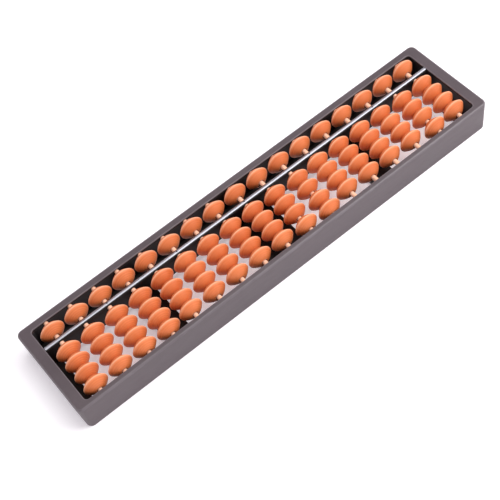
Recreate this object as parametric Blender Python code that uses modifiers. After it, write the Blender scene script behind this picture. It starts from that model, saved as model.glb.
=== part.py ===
"""Japanese abacus (soroban): seventeen rods, each with one upper bead and four lower beads.

The long side runs along X. The upper beads are on the +Y side of the beam, the lower beads on
the -Y side. +Z is up, and the origin is at the middle of the face that the abacus rests on.
"""

import math

import bmesh
import bpy
from mathutils import Matrix, Vector

MM = 0.001

# Columns
COLUMNS = 17
PITCH = 15.0 * MM
ROD_HEIGHT = 16.5 * MM
ROD_RADIUS = 1.3 * MM
BORE_RADIUS = 1.55 * MM
ROUND_SIDES = 12

# Outer frame
LENGTH = 271.4 * MM
WIDTH = 60.1 * MM
HEIGHT = 18.8 * MM
END_LEAN = 1.2 * MM
CORNER_RADIUS = 3.5 * MM
TOP_ROUNDING = 1.2 * MM
INNER_CORNER = 2.0 * MM

# The opening between the rails. The front rail is narrower than the back rail.
OPENING_HALF_LENGTH = 129.0 * MM
OPENING_FRONT = -26.55 * MM
OPENING_BACK = 25.45 * MM

# Clearance between pieces that touch
GAP = 0.25 * MM

# Inner frame, which sits in a pocket under the lip of the outer frame
INNER_WALL = 1.4 * MM
INNER_TOP = 17.6 * MM
POCKET_TOP = ROD_HEIGHT + ROD_RADIUS + GAP
FOOT_CLEARANCE = 0.3 * MM
LEDGE_TOP = 3.1 * MM
END_LEDGE_WIDTH = 5.0 * MM
BACK_LEDGE_WIDTH = 2.5 * MM
ROD_END_RECESS = 0.3 * MM

# Cross plates under the beads: the X of each one's middle, and its width along X
CROSS_PLATES = ((-70.0 * MM, 14.0 * MM), (0.0, 28.0 * MM), (70.0 * MM, 14.0 * MM))

# Beam and its inlaid strip
BEAM_MIDDLE = 11.75 * MM
BEAM_WIDTH = 3.0 * MM
BEAM_BOTTOM = 5.0 * MM
STRIP_WIDTH = 1.8 * MM
STRIP_THICKNESS = 0.3 * MM
STRIP_GAP = 0.2 * MM
BEAM_TOP = HEIGHT - STRIP_THICKNESS - STRIP_GAP

# Beads: two domed cones base to base
BEAD_RADIUS = 7.05 * MM
BEAD_HALF = 3.9 * MM
DOME_RADIUS = 5.1 * MM
DOME_HALF = 2.2 * MM
HUB_RADIUS = 2.8 * MM
NECK_RADIUS = 2.3 * MM

# Where the beads lie at rest, judged by eye in the photo. Column 1 is at -X, gaps are along the
# rod, and each pair holds the last column of a run and the gap in that run.
UPPER_GAPS_TO_BACK = ((4, 2.5 * MM), (8, 1.8 * MM), (17, 1.1 * MM))
SHORT_TIP = 1.4 * MM
MIDDLE_TIP = 2.7 * MM
LONG_TIP = 3.9 * MM
NO_TIP = 0.5 * MM
LOWER_GAPS_TO_FRONT = ((4, SHORT_TIP), (9, MIDDLE_TIP), (10, SHORT_TIP), (11, NO_TIP),
                       (15, LONG_TIP), (16, SHORT_TIP), (17, MIDDLE_TIP))
# Gaps between the four lower beads of a column
TOUCHING = 0.25 * MM
LOOSE = 0.5 * MM
PARTED = 1.8 * MM
LOOSE_COLUMNS = (*range(1, 12), 17)
# Columns with one wide gap, and the bead, counted from the front, that it lies behind
PARTED_BEHIND = {10: 1, 11: 2, 16: 1}


def column_x(column):
    """X of a rod; column 1 is the leftmost."""
    return (column - (COLUMNS + 1) / 2) * PITCH


def gap_in_run(runs, column):
    """The gap of the run of columns that a column lies in."""
    return next(gap for last_column, gap in runs if column <= last_column)


def clear_scene():
    for obj in list(bpy.data.objects):
        bpy.data.objects.remove(obj, do_unlink=True)


def new_collection(name, hidden=False):
    collection = bpy.data.collections.new(name)
    collection.hide_render = hidden
    bpy.context.scene.collection.children.link(collection)
    return collection


def new_material(name, colour, roughness, metallic=0.0):
    material = bpy.data.materials.new(name)
    material.use_nodes = True
    shader = material.node_tree.nodes["Principled BSDF"]
    shader.inputs["Base Color"].default_value = (*colour, 1.0)
    shader.inputs["Roughness"].default_value = roughness
    shader.inputs["Metallic"].default_value = metallic
    material.diffuse_color = (*colour, 1.0)
    return material


def add_object(name, mesh, collection, material=None):
    obj = bpy.data.objects.new(name, mesh)
    collection.objects.link(obj)
    if material and not mesh.materials:
        mesh.materials.append(material)
    return obj


def mesh_from(name, shape):
    mesh = bpy.data.meshes.new(name)
    shape.to_mesh(mesh)
    shape.free()
    return mesh


def block(name, low, high, collection, material=None, corner=0.0, rounding=0.0, lean=0.0):
    """A box with rounded upright edges and a rounded top. Its ends lean in towards the foot."""
    low, high = Vector(low), Vector(high)
    shape = bmesh.new()
    bmesh.ops.create_cube(shape, size=1.0)
    bmesh.ops.scale(shape, vec=high - low, verts=shape.verts)
    bmesh.ops.translate(shape, vec=(low + high) / 2, verts=shape.verts)
    for foot in (v for v in shape.verts if v.co.z < high.z - GAP):
        foot.co.x -= math.copysign(lean, foot.co.x)
    if corner:
        upright = [e for e in shape.edges if abs(e.verts[0].co.z - e.verts[1].co.z) > GAP]
        bmesh.ops.bevel(shape, geom=upright, offset=corner, segments=5, profile=0.5,
                        affect="EDGES")
    if rounding:
        top = [e for e in shape.edges if min(v.co.z for v in e.verts) > high.z - GAP / 2]
        bmesh.ops.bevel(shape, geom=top, offset=rounding, segments=2, profile=0.5,
                        affect="EDGES")
    return add_object(name, mesh_from(name, shape), collection, material)


def rod_mesh(name, radius, front, back):
    """A round bar along Y, between two values of Y, on the rods' height."""
    shape = bmesh.new()
    bmesh.ops.create_cone(shape, cap_ends=True, segments=ROUND_SIDES, radius1=radius,
                          radius2=radius, depth=back - front)
    bmesh.ops.rotate(shape, matrix=Matrix.Rotation(math.radians(-90), 3, "X"),
                     verts=shape.verts)
    bmesh.ops.translate(shape, vec=(0, (front + back) / 2, ROD_HEIGHT), verts=shape.verts)
    return mesh_from(name, shape)


def cut(obj, cutter):
    modifier = obj.modifiers.new("cut_" + cutter.name, "BOOLEAN")
    modifier.operation = "DIFFERENCE"
    modifier.solver = "EXACT"
    modifier.object = cutter
    cutter.display_type = "WIRE"
    cutter.hide_render = True


def bore_cutter(name, front, back, cutters):
    """One cutter that holds a round bar on every column."""
    bar = rod_mesh(name + "_bar", BORE_RADIUS, front, back)
    shape = bmesh.new()
    for column in range(1, COLUMNS + 1):
        start = len(shape.verts)
        shape.from_mesh(bar)
        shape.verts.ensure_lookup_table()
        bmesh.ops.translate(shape, vec=(column_x(column), 0, 0), verts=shape.verts[start:])
    return add_object(name, mesh_from(name, shape), cutters)


def opening_cutter(name, bottom, cutters, end_ledge=0.0, back_ledge=0.0):
    """Cuts the opening from a height upwards, and leaves a ledge at its ends and its back."""
    half_length = OPENING_HALF_LENGTH - end_ledge
    low = (-half_length, OPENING_FRONT, bottom)
    high = (half_length, OPENING_BACK - back_ledge, HEIGHT + CORNER_RADIUS)
    return block(name, low, high, cutters, corner=INNER_CORNER)


def make_outer_frame(parts, cutters, material):
    frame = block("outer_frame", (-LENGTH / 2, -WIDTH / 2, 0), (LENGTH / 2, WIDTH / 2, HEIGHT),
                  parts, material, CORNER_RADIUS, TOP_ROUNDING, END_LEAN)
    margin = INNER_WALL + GAP
    pocket = block("pocket_cutter",
                   (-OPENING_HALF_LENGTH - margin, OPENING_FRONT - margin, -CORNER_RADIUS),
                   (OPENING_HALF_LENGTH + margin, OPENING_BACK + margin, POCKET_TOP),
                   cutters, corner=INNER_CORNER)
    cut(frame, pocket)
    cut(frame, opening_cutter("lip_cutter", -CORNER_RADIUS, cutters))


def make_inner_frame(parts, cutters, material):
    """The walls that hold the rod ends, with a low ledge at each end and along the back."""
    frame = block("inner_frame",
                  (-OPENING_HALF_LENGTH - INNER_WALL, OPENING_FRONT - INNER_WALL, FOOT_CLEARANCE),
                  (OPENING_HALF_LENGTH + INNER_WALL, OPENING_BACK + INNER_WALL, INNER_TOP),
                  parts, material, corner=INNER_CORNER)
    cut(frame, opening_cutter("wall_cutter", LEDGE_TOP, cutters))
    cut(frame, opening_cutter("floor_cutter", -CORNER_RADIUS, cutters, END_LEDGE_WIDTH,
                              BACK_LEDGE_WIDTH))
    cut(frame, bore_cutter("rod_notch_cutter", -WIDTH / 2, WIDTH / 2, cutters))


def make_beam(parts, cutters, black, silver):
    half_length = OPENING_HALF_LENGTH - GAP
    front = BEAM_MIDDLE - BEAM_WIDTH / 2
    back = BEAM_MIDDLE + BEAM_WIDTH / 2
    beam = block("beam", (-half_length, front, BEAM_BOTTOM), (half_length, back, BEAM_TOP),
                 parts, black)
    cut(beam, bore_cutter("rod_hole_cutter", front - BEAM_WIDTH, back + BEAM_WIDTH, cutters))
    block("beam_strip",
          (-half_length, BEAM_MIDDLE - STRIP_WIDTH / 2, HEIGHT - STRIP_THICKNESS),
          (half_length, BEAM_MIDDLE + STRIP_WIDTH / 2, HEIGHT), parts, silver)


def make_cross_plates(parts, material):
    """The plates that tie the front wall and the back ledge together under the beads."""
    front = OPENING_FRONT + GAP
    back = OPENING_BACK - BACK_LEDGE_WIDTH - GAP
    for number, (x, width) in enumerate(CROSS_PLATES, 1):
        block(f"cross_plate_{number}", (x - width / 2, front, FOOT_CLEARANCE),
              (x + width / 2, back, LEDGE_TOP), parts, material)


def shade_round(mesh):
    mesh.shade_smooth()
    mesh.set_sharp_from_angle(angle=math.radians(35))


def make_rods(parts, material):
    front = OPENING_FRONT - INNER_WALL + ROD_END_RECESS
    back = OPENING_BACK + INNER_WALL - ROD_END_RECESS
    mesh = rod_mesh("rod", ROD_RADIUS, front, back)
    shade_round(mesh)
    for column in range(1, COLUMNS + 1):
        rod = add_object(f"rod_{column:02d}", mesh, parts, material)
        rod.location.x = column_x(column)


def bead_side(middle):
    """(radius, height) down one bead's outer side, from its upper hub to its lower hub."""
    return [(HUB_RADIUS, middle + BEAD_HALF), (DOME_RADIUS, middle + DOME_HALF),
            (BEAD_RADIUS, middle), (DOME_RADIUS, middle - DOME_HALF),
            (HUB_RADIUS, middle - BEAD_HALF)]


def stack_profile(middles):
    """A closed profile round beads on one rod: down the outside, then back up the bore."""
    side = []
    for middle in sorted(middles, reverse=True):
        points = bead_side(middle)
        if side:
            neck_top, neck_bottom = side.pop(), points.pop(0)
            side += [(NECK_RADIUS, neck_top[1]), (NECK_RADIUS, neck_bottom[1])]
        side += points
    return side + [(BORE_RADIUS, side[-1][1]), (BORE_RADIUS, side[0][1])]


def turned_mesh(name, profile):
    shape = bmesh.new()
    points = [shape.verts.new((radius, 0, height)) for radius, height in profile]
    for first, second in zip(points, points[1:] + points[:1]):
        shape.edges.new((first, second))
    return mesh_from(name, shape)


def add_beads(name, mesh, column, y, parts, material):
    """Turns a bead profile about its rod. The object's origin is on the rod, at y."""
    beads = add_object(name, mesh, parts, material)
    beads.location = (column_x(column), y, ROD_HEIGHT)
    beads.rotation_euler.x = math.radians(-90)
    screw = beads.modifiers.new("turn", "SCREW")
    screw.axis = "Z"
    screw.steps = ROUND_SIDES
    screw.render_steps = ROUND_SIDES
    screw.use_merge_vertices = True
    screw.merge_threshold = 0.01 * MM
    screw.use_smooth_shade = False


def make_upper_beads(parts, material):
    mesh = turned_mesh("upper_bead", stack_profile([0.0]))
    for column in range(1, COLUMNS + 1):
        y = OPENING_BACK - BEAD_HALF - gap_in_run(UPPER_GAPS_TO_BACK, column)
        add_beads(f"upper_bead_{column:02d}", mesh, column, y, parts, material)


def lower_bead_middles(column):
    """Y of the four lower beads of a column, from the front."""
    usual_gap = LOOSE if column in LOOSE_COLUMNS else TOUCHING
    middles = [OPENING_FRONT + gap_in_run(LOWER_GAPS_TO_FRONT, column) + BEAD_HALF]
    for bead in (1, 2, 3):
        gap = PARTED if PARTED_BEHIND.get(column) == bead else usual_gap
        middles.append(middles[-1] + 2 * BEAD_HALF + gap)
    return middles


def make_lower_beads(parts, material):
    """The four lower beads of a column are joined at their hubs into one stack."""
    for column in range(1, COLUMNS + 1):
        middles = lower_bead_middles(column)
        name = f"lower_beads_{column:02d}"
        mesh = turned_mesh(name, stack_profile([y - middles[0] for y in middles]))
        add_beads(name, mesh, column, middles[0], parts, material)


def main():
    clear_scene()
    parts = new_collection("abacus")
    cutters = new_collection("cutters", hidden=True)
    grey = new_material("grey_plastic", (0.088, 0.067, 0.075), 0.45)
    black = new_material("black_plastic", (0.017, 0.015, 0.016), 0.4)
    silver = new_material("aluminium_strip", (0.45, 0.455, 0.50), 0.3, metallic=1.0)
    bead_orange = new_material("bead_plastic", (0.70, 0.17, 0.047), 0.35)
    rod_colour = new_material("rod_plastic", (0.93, 0.61, 0.45), 0.3)
    make_outer_frame(parts, cutters, grey)
    make_inner_frame(parts, cutters, black)
    make_beam(parts, cutters, black, silver)
    make_cross_plates(parts, black)
    make_rods(parts, rod_colour)
    make_upper_beads(parts, bead_orange)
    make_lower_beads(parts, bead_orange)


main()
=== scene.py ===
import math
import random

import bmesh
import bpy
from mathutils import Euler, Matrix, Vector


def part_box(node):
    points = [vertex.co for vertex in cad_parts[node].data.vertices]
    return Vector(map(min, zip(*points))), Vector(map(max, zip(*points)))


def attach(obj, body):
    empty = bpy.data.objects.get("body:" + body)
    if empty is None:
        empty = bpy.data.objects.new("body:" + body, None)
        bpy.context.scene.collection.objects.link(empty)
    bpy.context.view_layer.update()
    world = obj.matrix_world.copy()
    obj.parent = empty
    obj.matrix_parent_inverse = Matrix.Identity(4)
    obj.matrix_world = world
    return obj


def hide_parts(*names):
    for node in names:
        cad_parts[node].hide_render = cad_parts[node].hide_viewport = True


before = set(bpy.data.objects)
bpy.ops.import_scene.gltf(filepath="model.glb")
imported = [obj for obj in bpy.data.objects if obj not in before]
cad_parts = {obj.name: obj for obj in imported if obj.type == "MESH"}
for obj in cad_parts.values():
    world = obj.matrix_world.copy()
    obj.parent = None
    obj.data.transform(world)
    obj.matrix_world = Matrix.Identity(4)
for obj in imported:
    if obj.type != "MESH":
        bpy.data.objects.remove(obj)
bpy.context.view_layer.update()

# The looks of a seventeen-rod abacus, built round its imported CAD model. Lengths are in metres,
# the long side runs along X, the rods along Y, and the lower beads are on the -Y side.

MM = 0.001
COLUMNS = 17
UNIT_COLUMNS = (3, 6, 9, 12, 15)
rng = random.Random(17)

# Outer shell
END_LEAN = 1.2 * MM
CORNER_RADIUS = 3.4 * MM
TOP_ROUNDING = 1.3 * MM
FOOT_CHAMFER = 0.2 * MM
FOOT_RIM = 1.0 * MM
LIP_ROUNDING = 0.3 * MM
LIP_HEIGHT = 0.75 * MM
POCKET_GAP = 0.25 * MM
CORNER_STEPS = 12

# Inner walls, with a ledge at each end and along the back
INNER_CORNER = 2.0 * MM
INNER_WALL = 1.4 * MM
END_LEDGE = 5.0 * MM
BACK_LEDGE = 2.5 * MM
FRONT_LEDGE = 0.5 * MM
EDGE_ROUNDING = 0.2 * MM

# Strip on the beam, and the dots of the unit columns
STRIP_CROWN = 0.22 * MM
STRIP_STEPS = 12
STRIP_SINK = 0.1 * MM
# (radius, height over the strip), in millimetres
DOT_PROFILE = ((0.42, -0.1), (0.42, 0.0), (0.36, 0.05), (0.2, 0.09))
DOT_SIDES = 20

# Beads and rods
ROD_RADIUS = 1.3 * MM
BORE_RADIUS = 1.55 * MM
HUB_RADIUS = 2.6 * MM
BULGE = 0.30 * MM
RIM_WIDTH = 0.50 * MM
# The bead's outline at its bore: (out from the bore, in from the face), in millimetres, and a third
# value that is negative where painted shade darkens the recess round the bore
BORE_OUTLINE = ((0.0, 1.2, -1.0), (0.0, 0.8, -1.0), (0.06, 0.16, -0.6), (0.16, 0.04, -0.2),
                (0.3, 0.0, 0.2))
SIDE_STEPS = 14
TILT = 0.012
RING_SPACING = 0.85 * MM
ROD_CHAMFER = 0.25 * MM
ROD_END_HOLE = 0.02 * MM
BEAD_SEGMENTS = 64
ROD_SEGMENTS = 32
SHARP_ANGLE = math.radians(40)

# Colours, linear: the darker and the paler tone of each material, and of its worn edges; the grey
# edge, bead rim and bead recess colours also paint highlight and shade, as marked below
GREY_TONES = ((0.074, 0.055, 0.063, 1), (0.088, 0.066, 0.075, 1))
# Worn edges of the grey shell, and a painted highlight line along its top rounding and inner lip
GREY_EDGE_WEAR_AND_HIGHLIGHT = (0.19, 0.165, 0.18, 1)
BLACK_TONES = ((0.009, 0.006, 0.006, 1), (0.014, 0.010, 0.010, 1))
BLACK_EDGE = (0.04, 0.034, 0.035, 1)
BEAD_TONES = ((0.64, 0.148, 0.038, 1), (0.76, 0.195, 0.057, 1))
BEAD_RING = (0.54, 0.112, 0.028, 1)
BEAD_PALER = (0.80, 0.26, 0.09, 1)
# Painted highlight round each bead's rim
BEAD_RIM_HIGHLIGHT = (0.92, 0.46, 0.27, 1)
# Painted shade in the recess round each bead's bore
BEAD_RECESS_SHADE = (0.30, 0.065, 0.024, 1)
ROD_TONES = ((0.86, 0.47, 0.31, 1), (0.94, 0.60, 0.44, 1))
STRIP_TONES = ((0.35, 0.35, 0.39, 1), (0.42, 0.42, 0.465, 1))
FLOOR_TONES = ((0.80, 0.79, 0.795, 1), (0.82, 0.81, 0.815, 1))
FLOOR_LIGHT = (0.99, 0.93, 1.0, 1)

# Floor
FLOOR_RADIUS = 2.2
FLOOR_CURVE = 0.7
WALL_HEIGHT = 1.3
FLOOR_SIDES = 64
FLOOR_GLOW = 0.38

# Camera, at the photo's viewing angle, and lights: (place, size, watts), aimed at the origin
CAMERA_PLACE = (-0.16115, -0.31944, 0.51764)
CAMERA_DEGREES = (33.100, 8.655, -38.338)
CAMERA_LENS = 84.575
CAMERA_SENSOR = 36
CAMERA_NEAR = 0.01
KEY_LIGHT = ((0.60, -0.38, 0.82), (0.55, 0.5), 7.2)
OVERHEAD_LIGHT = ((0.3, 0.1, 1.4), (0.8, 0.8), 9.8)
SURROUND = 0.34


# ---------------------------------------------------------------- materials

def add_node(tree, kind, inputs=None, **settings):
    """A shader node. Inputs are values, or sockets to link."""
    node = tree.nodes.new("ShaderNode" + kind)
    for name, value in settings.items():
        setattr(node, name, value)
    for name, value in (inputs or {}).items():
        if isinstance(value, bpy.types.NodeSocket):
            tree.links.new(value, node.inputs[name])
        else:
            node.inputs[name].default_value = value
    return node


def noise(tree, place, scale, detail=3.0, roughness=0.55):
    return add_node(tree, "TexNoise", {"Vector": place, "Scale": scale, "Detail": detail,
                                       "Roughness": roughness}).outputs["Fac"]


def ranged(tree, value, low, high, from_low=0.3, from_high=0.7):
    """The value, stretched from one range to another."""
    inputs = {"Value": value, "From Min": from_low, "From Max": from_high,
              "To Min": low, "To Max": high}
    return add_node(tree, "MapRange", inputs).outputs["Result"]


def math_node(tree, operation, first, second=0.0):
    return add_node(tree, "Math", {0: first, 1: second}, operation=operation).outputs[0]


def mixed(tree, factor, first, second):
    """Two colours, mixed by a factor."""
    node = tree.nodes.new("ShaderNodeMix")
    node.data_type = "RGBA"
    for index, value in ((0, factor), (6, first), (7, second)):
        if isinstance(value, bpy.types.NodeSocket):
            tree.links.new(value, node.inputs[index])
        else:
            node.inputs[index].default_value = value
    return node.outputs[2]


def stretched(tree, place, scale):
    return add_node(tree, "Mapping", {"Vector": place, "Scale": scale}).outputs["Vector"]


def bumped(tree, height, distance, strength=1.0, normal=None):
    inputs = {"Height": height, "Distance": distance, "Strength": strength}
    if normal:
        inputs["Normal"] = normal
    return add_node(tree, "Bump", inputs).outputs["Normal"]


def new_material(name, **values):
    """(material, its node tree, a function that links sockets to its shader)."""
    material = bpy.data.materials.new(name)
    material.use_nodes = True
    tree = material.node_tree
    shader = tree.nodes["Principled BSDF"]
    for socket, value in values.items():
        shader.inputs[socket.replace("_", " ")].default_value = value

    def drive(**sockets):
        for socket, output in sockets.items():
            tree.links.new(output, shader.inputs[socket.replace("_", " ")])

    return material, tree, drive


def object_place(tree):
    return add_node(tree, "TexCoord").outputs["Object"]


def wear_and_highlight_mask(tree):
    """Edge wear and a painted highlight, from 0 to 1, as the mesh carries them; 0 where it carries
    none.
    """
    wear_and_painted_light = add_node(tree, "Attribute", attribute_name="wear_and_painted_light").outputs["Fac"]
    return math_node(tree, "MAXIMUM", wear_and_painted_light, 0.0)


def painted_recess_shade(tree):
    """Painted shade in a recess, from 0 to 1: the mesh carries it as negative values of the same
    attribute.
    """
    wear_and_painted_light = add_node(tree, "Attribute", attribute_name="wear_and_painted_light").outputs["Fac"]
    return math_node(tree, "MAXIMUM", math_node(tree, "MULTIPLY", wear_and_painted_light, -1.0), 0.0)


def moulded(name, tones, edge, roughness, grain, shine=0.5):
    """Moulded plastic: a fine matt grain, faint clouding, and paler, smoother worn edges; on the grey
    shell the paler edge colour is also a painted highlight line along the top rounding and inner lip.
    """
    material, tree, drive = new_material(name, IOR=1.48, Specular_IOR_Level=shine)
    place = object_place(tree)
    cloud = noise(tree, place, 38.0, 4.0)
    speck = noise(tree, place, 1500.0, 2.0)
    scuff = noise(tree, stretched(tree, place, (90.0, 420.0, 420.0)), 1.0, 5.0, 0.7)
    body = mixed(tree, ranged(tree, cloud, 0.0, 1.0), *tones)
    # Paler edges: wear, and on the grey shell also a painted highlight line
    wear_and_painted_light = math_node(tree, "MULTIPLY", wear_and_highlight_mask(tree), ranged(tree, scuff, 0.35, 1.0))
    colour = mixed(tree, wear_and_painted_light, body, edge)
    fine = ranged(tree, scuff, -0.05, 0.05)
    rough = math_node(tree, "ADD", ranged(tree, cloud, roughness - 0.03, roughness + 0.05), fine)
    rough = math_node(tree, "SUBTRACT", rough, math_node(tree, "MULTIPLY", wear_and_painted_light, 0.1))
    broad = bumped(tree, cloud, 0.05 * MM, 0.5)
    drive(Base_Color=colour, Roughness=rough,
          Normal=bumped(tree, speck, grain, 0.6, broad))
    return material


def turned_plastic(name):
    """Turned orange-brown beads: fine rings round the bore, mottling, a painted highlight round the
    rim, and painted shade in the recess round the bore.
    """
    material, tree, drive = new_material(name, IOR=1.47)
    place = object_place(tree)
    which = add_node(tree, "ObjectInfo").outputs["Random"]
    shift = add_node(tree, "CombineXYZ", {"X": which, "Y": which, "Z": which}).outputs["Vector"]
    place = add_node(tree, "VectorMath", {0: place, 1: shift}, operation="ADD").outputs[0]
    own = object_place(tree)
    flat = add_node(tree, "VectorMath", {0: own, 1: (1, 0, 1)}, operation="MULTIPLY").outputs[0]
    radius = add_node(tree, "VectorMath", {0: flat}, operation="LENGTH").outputs["Value"]
    ripple = noise(tree, place, 260.0, 3.0)
    wobble = math_node(tree, "MULTIPLY", ripple, 0.25 * MM)
    rings = math_node(tree, "MULTIPLY", math_node(tree, "ADD", radius, wobble),
                      2 * math.pi / RING_SPACING)
    rings = math_node(tree, "SINE", rings)
    cloud = noise(tree, place, 120.0, 4.0)
    body = mixed(tree, ranged(tree, cloud, 0.0, 1.0), *BEAD_TONES)
    lined = mixed(tree, ranged(tree, rings, 0.0, 0.55, -1.0, 1.0), body, BEAD_RING)
    tone = mixed(tree, ranged(tree, which, 0.0, 0.25, 0.0, 1.0), lined, BEAD_PALER)
    # Painted highlight round the rim
    rim = mixed(tree, math_node(tree, "MULTIPLY", wear_and_highlight_mask(tree), 0.7), tone, BEAD_RIM_HIGHLIGHT)
    # Painted shade in the recess round the bore
    colour = mixed(tree, painted_recess_shade(tree), rim, BEAD_RECESS_SHADE)
    drive(Base_Color=colour, Roughness=ranged(tree, cloud, 0.46, 0.60),
          Normal=bumped(tree, rings, 0.012 * MM, 0.7, bumped(tree, cloud, 0.08 * MM, 0.4)))
    return material


def drawn_plastic(name):
    """Rods: pale orange, with faint streaks along their length."""
    material, tree, drive = new_material(name, IOR=1.47)
    place = object_place(tree)
    streak = noise(tree, stretched(tree, place, (900.0, 30.0, 900.0)), 1.0, 4.0, 0.6)
    colour = mixed(tree, ranged(tree, streak, 0.0, 1.0), *ROD_TONES)
    drive(Base_Color=colour, Roughness=ranged(tree, streak, 0.24, 0.38),
          Normal=bumped(tree, streak, 0.02 * MM, 0.5))
    return material


def brushed_metal(name):
    """The strip on the beam: silver, brushed lengthways, faintly stained."""
    material, tree, drive = new_material(name, Metallic=1.0)
    place = object_place(tree)
    brush = noise(tree, stretched(tree, place, (35.0, 2600.0, 2600.0)), 1.0, 5.0, 0.65)
    stain = noise(tree, place, 60.0, 4.0)
    colour = mixed(tree, ranged(tree, stain, 0.0, 1.0), *STRIP_TONES)
    rough = math_node(tree, "ADD", ranged(tree, brush, 0.38, 0.52),
                      ranged(tree, stain, -0.03, 0.05))
    drive(Base_Color=colour, Roughness=rough, Normal=bumped(tree, brush, 0.02 * MM, 0.6))
    return material


# ----------------------------------------------------------------- geometry

def finish_piece(name, shape, material, body, replaces=()):
    """Makes a piece of a bmesh, gives it its body, and hides the CAD nodes it replaces."""
    bmesh.ops.recalc_face_normals(shape, faces=shape.faces)
    mesh = bpy.data.meshes.new(name)
    shape.to_mesh(mesh)
    shape.free()
    mesh.shade_smooth()
    mesh.set_sharp_from_angle(angle=SHARP_ANGLE)
    mesh.materials.append(material)
    return place_piece(name, mesh, body, replaces)


def place_piece(name, mesh, body, replaces=(), matrix=None):
    piece = bpy.data.objects.new(name, mesh)
    bpy.context.scene.collection.objects.link(piece)
    if matrix:
        piece.matrix_world = matrix
    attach(piece, body)
    if replaces:
        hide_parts(*replaces)
    return piece


def rounded_rectangle(x, front, back, radius):
    """Points round a rectangle with rounded corners, anticlockwise."""
    points = []
    for side_x, side_y, start in ((x, front, -90), (x, back, 0), (-x, back, 90), (-x, front, 180)):
        middle_x = side_x - math.copysign(radius, side_x)
        middle_y = side_y - math.copysign(radius, side_y)
        for step in range(CORNER_STEPS + 1):
            angle = math.radians(start + 90 * step / CORNER_STEPS)
            points.append((middle_x + radius * math.cos(angle), middle_y + radius * math.sin(angle)))
    return points


def ring_of_loops(loops):
    """A closed band through loops of points. A loop is (points, height, edge value), the edge value
    being wear and painted highlight.
    """
    shape = bmesh.new()
    light_and_wear_layer = shape.verts.layers.float.new("wear_and_painted_light")
    rows = []
    for points, height, wear_and_painted_light in loops:
        row = [shape.verts.new((x, y, height)) for x, y in points]
        for vertex in row:
            vertex[light_and_wear_layer] = wear_and_painted_light
        rows.append(row)
    for low, high in zip(rows, rows[1:] + rows[:1]):
        for i in range(len(low)):
            j = (i + 1) % len(low)
            shape.faces.new((low[i], low[j], high[j], high[i]))
    return shape


def turned(profile, segments):
    """A solid turned about Y. A profile point is (radius, y, edge value): above 0 for wear and
    painted highlight, below 0 for painted shade; the profile is closed.
    """
    shape = bmesh.new()
    light_and_wear_layer = shape.verts.layers.float.new("wear_and_painted_light")
    rows = []
    for radius, y, wear_and_painted_light in profile:
        row = []
        for step in range(segments):
            angle = 2 * math.pi * step / segments
            vertex = shape.verts.new((radius * math.cos(angle), y, radius * math.sin(angle)))
            vertex[light_and_wear_layer] = wear_and_painted_light
            row.append(vertex)
        rows.append(row)
    for low, high in zip(rows, rows[1:] + rows[:1]):
        for i in range(segments):
            j = (i + 1) % segments
            shape.faces.new((low[i], low[j], high[j], high[i]))
    return shape


def arc(steps):
    """(1 - cosine, sine) of angles from 0 to 90 degrees."""
    for step in range(steps + 1):
        angle = math.pi / 2 * step / steps
        yield 1 - math.cos(angle), math.sin(angle)


# -------------------------------------------------------------------- shell

def outer_loop(half_length, half_width, inset, height, top, wear_and_painted_light=0.0):
    lean = END_LEAN * (1 - min(height, top) / top)
    points = rounded_rectangle(half_length - inset - lean, -half_width + inset,
                               half_width - inset, max(CORNER_RADIUS - inset, 0.4 * MM))
    return points, height, wear_and_painted_light


def inner_loop(opening, outset, height, wear_and_painted_light=0.0):
    half_length, front, back = opening
    points = rounded_rectangle(half_length + outset, front - outset, back + outset,
                               INNER_CORNER + outset)
    return points, height, wear_and_painted_light


def make_shell(opening, material):
    """The grey outer frame: rounded top, crisp inner lip, and the pocket under the lip."""
    low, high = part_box("outer_frame")
    half_width, top = high.y, high.z
    half_length = high.x + END_LEAN * TOP_ROUNDING / top
    lip_bottom = top - LIP_HEIGHT
    pocket = INNER_WALL + POCKET_GAP

    def outer(inset, height, wear_and_painted_light=0.0):
        return outer_loop(half_length, half_width, inset, height, top, wear_and_painted_light)

    def inner(outset, height, wear_and_painted_light=0.0):
        return inner_loop(opening, outset, height, wear_and_painted_light)

    loops = [outer(FOOT_RIM, 0.0), outer(FOOT_CHAMFER, 0.0, 0.2), outer(0.0, FOOT_CHAMFER, 0.3),
             outer(0.0, 2 * FOOT_CHAMFER), outer(0.0, top - TOP_ROUNDING - 0.5 * MM)]
    for inset, rise in arc(7):
        # A painted highlight line along the top rounding, brightest half way round it, together with
        # wear
        wear_and_painted_light = 1.0 - abs(2 * rise * (1 - inset) - 1.0) ** 2
        loops.append(outer(TOP_ROUNDING * inset, top - TOP_ROUNDING * (1 - rise), 0.75 * wear_and_painted_light))
    loops += [outer(TOP_ROUNDING + 0.4 * MM, top), inner(LIP_ROUNDING + 0.3 * MM, top)]
    for across, down in arc(4):
        # A painted highlight line along the inner lip
        loops.append(inner(LIP_ROUNDING * (1 - down), top - LIP_ROUNDING * across, 0.8))
    loops += [inner(0.0, lip_bottom), inner(pocket, lip_bottom), inner(pocket, FOOT_CHAMFER),
              inner(pocket + 0.2 * MM, 0.0)]
    return finish_piece("frame_shell", ring_of_loops(loops), material, "frame",
                        ["outer_frame"])


# -------------------------------------------------------------- inner parts

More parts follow.
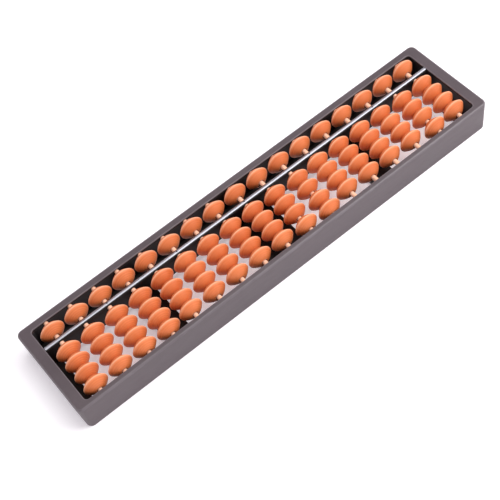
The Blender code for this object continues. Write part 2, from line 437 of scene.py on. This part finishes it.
def make_inner_walls(opening, ledge_top, material):
    """The black walls that hold the rods, and their ledges."""
    low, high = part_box("inner_frame")
    half_length, front, back = opening

    def wall(outset, height, wear_and_painted_light=0.0):
        return inner_loop(opening, outset, height, wear_and_painted_light)

    def ledge(outset, height, wear_and_painted_light=0.0):
        rim = (half_length - END_LEDGE, front + FRONT_LEDGE, back - BACK_LEDGE)
        return inner_loop(rim, outset, height, wear_and_painted_light)

    loops = [wall(INNER_WALL, low.z), wall(INNER_WALL, high.z - EDGE_ROUNDING),
             wall(INNER_WALL - EDGE_ROUNDING, high.z), wall(EDGE_ROUNDING, high.z, 0.5),
             wall(0.0, high.z - EDGE_ROUNDING, 0.5), wall(0.0, ledge_top + EDGE_ROUNDING),
             wall(0.0, ledge_top), ledge(EDGE_ROUNDING, ledge_top, 0.3),
             ledge(0.3 * EDGE_ROUNDING, ledge_top - 0.3 * EDGE_ROUNDING, 0.6),
             ledge(0.0, ledge_top - EDGE_ROUNDING, 0.3), ledge(0.0, low.z)]
    return finish_piece("inner_walls", ring_of_loops(loops), material, "frame",
                        ["inner_frame"])


def make_bar(name, node, material):
    """A moulded bar or plate in the place of a CAD node, with rounded, slightly worn edges."""
    low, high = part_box(node)
    size, middle = high - low, (low + high) / 2
    shape = bmesh.new()
    bmesh.ops.create_cube(shape, size=1.0)
    bmesh.ops.scale(shape, vec=size, verts=shape.verts)
    bmesh.ops.bevel(shape, geom=shape.edges, offset=1.2 * EDGE_ROUNDING, segments=4, profile=0.5,
                    affect="EDGES")
    light_and_wear_layer = shape.verts.layers.float.new("wear_and_painted_light")
    for vertex in shape.verts:
        inset = sorted(half - abs(at) for half, at in zip(size / 2, vertex.co))
        vertex[light_and_wear_layer] = 0.6 if inset[1] < EDGE_ROUNDING else 0.0
    bmesh.ops.translate(shape, vec=middle, verts=shape.verts)
    return finish_piece(name, shape, material, "frame", [node])


# -------------------------------------------------------------------- beads

def bead_profile(radius, half):
    """A bead's outline: its side from bore to rim, and that side mirrored in the rim's plane."""
    start = Vector((HUB_RADIUS, half))
    end = Vector((radius - 0.16 * MM, RIM_WIDTH / 2 + 0.10 * MM))
    along = end - start
    outward = Vector((-along.y, along.x)).normalized()
    if outward.x < 0:
        outward.negate()
    # Negative values in the bore outline paint shade into the recess round the bore
    side = [(BORE_RADIUS + out * MM, half - depth * MM, wear_and_painted_light) for out, depth, wear_and_painted_light in BORE_OUTLINE]
    side.append((HUB_RADIUS - 0.12 * MM, half - 0.03 * MM, 0.2))
    for step in range(SIDE_STEPS + 1):
        share = step / SIDE_STEPS
        point = start + along * share + outward * (BULGE * 4 * share * (1 - share))
        if step == 0:
            point.y -= 0.14 * MM
        # A painted highlight towards the rim, full on the rim itself
        wear_and_painted_light = max(0.0, share - 0.9) * 6
        side.append((point.x, point.y, wear_and_painted_light))
    side.append((radius - 0.03 * MM, RIM_WIDTH / 2 - 0.02 * MM, 1.0))
    side.append((radius, 0.07 * MM, 1.0))
    return side + [(r, -y, wear_and_painted_light) for r, y, wear_and_painted_light in reversed(side)]


def rod_axis(node):
    low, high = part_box(node)
    return (low.x + high.x) / 2, (low.z + high.z) / 2


def equators(node):
    """(the bead radius, the Y of each bead's rim) in a CAD node of turned beads."""
    x, z = rod_axis(node)
    points = [v.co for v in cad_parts[node].data.vertices]
    reach = [math.hypot(p.x - x, p.z - z) for p in points]
    radius = max(reach)
    rims = sorted({round(p.y, 5) for p, r in zip(points, reach) if r > radius - 0.05 * MM})
    return radius, rims


def make_beads(material):
    """Separate beads of one mesh, each a hair askew: one on an upper node, four on a lower one."""
    radius, _ = equators("upper_bead_01")
    low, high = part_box("upper_bead_01")
    half = (high.y - low.y) / 2
    shape = turned(bead_profile(radius, half), BEAD_SEGMENTS)
    mesh = None
    for column in range(1, COLUMNS + 1):
        for kind, row_names in (("upper_bead", ("",)), ("lower_beads", ("_a", "_b", "_c", "_d"))):
            node = f"{kind}_{column:02d}"
            x, z = rod_axis(node)
            _, rims = equators(node)
            for row, y in zip(row_names, rims):
                tilt = Euler((rng.uniform(-TILT, TILT), 0.0, rng.uniform(-TILT, TILT)))
                matrix = tilt.to_matrix().to_4x4()
                matrix.translation = (x, y, z)
                name = f"{kind[:5]}_counter_{column:02d}{row}"
                if mesh is None:
                    first = finish_piece(name, shape, material, node, [node])
                    mesh = first.data
                    bpy.context.view_layer.update()
                    first.matrix_world = matrix
                else:
                    place_piece(name, mesh, node, [node], matrix)


def make_rods(material):
    low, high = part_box("rod_01")
    half = (high.y - low.y) / 2
    middle = (high.y + low.y) / 2
    shape = turned([(ROD_RADIUS - ROD_CHAMFER, -half, 0), (ROD_RADIUS, -half + ROD_CHAMFER, 0),
                    (ROD_RADIUS, half - ROD_CHAMFER, 0), (ROD_RADIUS - ROD_CHAMFER, half, 0),
                    (ROD_END_HOLE, half, 0), (ROD_END_HOLE, -half, 0)], ROD_SEGMENTS)
    mesh = None
    for column in range(1, COLUMNS + 1):
        node = f"rod_{column:02d}"
        x, z = rod_axis(node)
        place = Matrix.Translation((x, middle, z))
        name = f"round_rod_{column:02d}"
        if mesh is None:
            first = finish_piece(name, shape, material, "frame", [node])
            mesh = first.data
            bpy.context.view_layer.update()
            first.matrix_world = place
        else:
            place_piece(name, mesh, "frame", [node], place)


# --------------------------------------------------------------------- beam

def make_strip(material, dot_material):
    """The bright strip on the beam, with a gently rounded top, and the dots of the unit columns."""
    low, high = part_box("beam_strip")
    middle, half = (low.y + high.y) / 2, (high.y - low.y) / 2
    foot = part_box("beam")[1].z - STRIP_SINK
    section = [(middle - half, foot), (middle + half, foot)]
    for step in range(STRIP_STEPS + 1):
        share = 1 - 2 * step / STRIP_STEPS
        section.append((middle + half * share, high.z - STRIP_CROWN * share ** 2))
    shape = bmesh.new()
    rows = [[shape.verts.new((x, y, z)) for y, z in section] for x in (low.x, high.x)]
    for i in range(len(section)):
        j = (i + 1) % len(section)
        shape.faces.new((rows[0][i], rows[0][j], rows[1][j], rows[1][i]))
    for row in rows:
        shape.faces.new(row)
    finish_piece("strip_on_beam", shape, material, "frame", ["beam_strip"])

    shape = bmesh.new()
    for column in UNIT_COLUMNS:
        x, _ = rod_axis(f"rod_{column:02d}")
        add_dot(shape, x, middle, high.z)
    finish_piece("unit_dots", shape, dot_material, "frame")


def add_dot(shape, x, y, z):
    """A low dome, whose foot is in the strip."""
    rows = []
    for radius, rise in DOT_PROFILE:
        row = []
        for step in range(DOT_SIDES):
            angle = 2 * math.pi * step / DOT_SIDES
            row.append(shape.verts.new((x + radius * MM * math.cos(angle),
                                        y + radius * MM * math.sin(angle), z + rise * MM)))
        rows.append(row)
    for low, high in zip(rows, rows[1:]):
        for i in range(DOT_SIDES):
            j = (i + 1) % DOT_SIDES
            shape.faces.new((low[i], low[j], high[j], high[i]))
    shape.faces.new(rows[0])
    shape.faces.new(rows[-1])


# -------------------------------------------------------- camera and lights

def make_camera():
    camera = bpy.data.cameras.new("camera")
    holder = bpy.data.objects.new("camera", camera)
    bpy.context.scene.collection.objects.link(holder)
    holder.location = CAMERA_PLACE
    holder.rotation_euler = [math.radians(angle) for angle in CAMERA_DEGREES]
    camera.lens = CAMERA_LENS
    camera.sensor_width = CAMERA_SENSOR
    camera.clip_start = CAMERA_NEAR
    bpy.context.scene.camera = holder


def add_light(name, place, size, watts):
    light = bpy.data.lights.new(name, "AREA")
    light.energy = watts
    light.shape = "RECTANGLE"
    light.size, light.size_y = size
    holder = bpy.data.objects.new(name, light)
    holder.location = place
    holder.rotation_euler = (-Vector(place)).to_track_quat("-Z", "Y").to_euler()
    bpy.context.scene.collection.objects.link(holder)


def floor_shape():
    """A round floor that curves up into a low wall."""
    shape = bmesh.new()
    rows = [(0.2 * FLOOR_RADIUS, 0.0), (0.6 * FLOOR_RADIUS, 0.0)]
    for rise, across in arc(12):
        rows.append((FLOOR_RADIUS - FLOOR_CURVE * (1 - across), FLOOR_CURVE * rise))
    rows.append((FLOOR_RADIUS, WALL_HEIGHT))
    rings = []
    for radius, height in rows:
        ring = []
        for step in range(FLOOR_SIDES):
            angle = 2 * math.pi * step / FLOOR_SIDES
            ring.append(shape.verts.new((radius * math.cos(angle), radius * math.sin(angle), height)))
        rings.append(ring)
    shape.faces.new(rings[0])
    for low, high in zip(rings, rings[1:]):
        for i in range(FLOOR_SIDES):
            j = (i + 1) % FLOOR_SIDES
            shape.faces.new((low[i], high[i], high[j], low[j]))
    return shape


def make_floor():
    shape = floor_shape()
    mesh = bpy.data.meshes.new("floor")
    shape.to_mesh(mesh)
    shape.free()
    mesh.shade_smooth()
    floor = bpy.data.objects.new("floor", mesh)
    bpy.context.scene.collection.objects.link(floor)
    material, tree, drive = new_material("floor_paint", Roughness=0.8, Specular_IOR_Level=0.2)
    cloud = noise(tree, object_place(tree), 3.0, 3.0)
    drive(Base_Color=mixed(tree, ranged(tree, cloud, 0.0, 1.0), *FLOOR_TONES))
    shader = tree.nodes["Principled BSDF"]
    shader.inputs["Emission Color"].default_value = FLOOR_LIGHT
    shader.inputs["Emission Strength"].default_value = FLOOR_GLOW
    mesh.materials.append(material)


def make_stage():
    """The floor, an even pale surround, one soft light in front of the abacus and one above it."""
    make_floor()
    world = bpy.data.worlds.new("studio")
    world.use_nodes = True
    background = world.node_tree.nodes["Background"]
    background.inputs["Color"].default_value = (1.0, 1.0, 1.0, 1)
    background.inputs["Strength"].default_value = SURROUND
    bpy.context.scene.world = world
    add_light("key", *KEY_LIGHT)
    add_light("overhead", *OVERHEAD_LIGHT)
    bpy.context.scene.view_settings.view_transform = "Standard"


def main():
    grey = moulded("grey_plastic", GREY_TONES, GREY_EDGE_WEAR_AND_HIGHLIGHT, roughness=0.42, grain=0.02 * MM)
    black = moulded("black_plastic", BLACK_TONES, BLACK_EDGE, roughness=0.45, grain=0.015 * MM,
                    shine=0.25)
    inner_low, inner_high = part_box("inner_frame")
    opening = (inner_high.x - INNER_WALL, inner_low.y + INNER_WALL, inner_high.y - INNER_WALL)
    make_shell(opening, grey)
    make_inner_walls(opening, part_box("cross_plate_1")[1].z, black)
    make_bar("black_beam", "beam", black)
    for number in (1, 2, 3):
        make_bar(f"black_plate_{number}", f"cross_plate_{number}", black)
    make_rods(drawn_plastic("rod_plastic"))
    make_beads(turned_plastic("bead_plastic"))
    make_strip(brushed_metal("strip_metal"), black)
    make_camera()
    make_stage()


main()
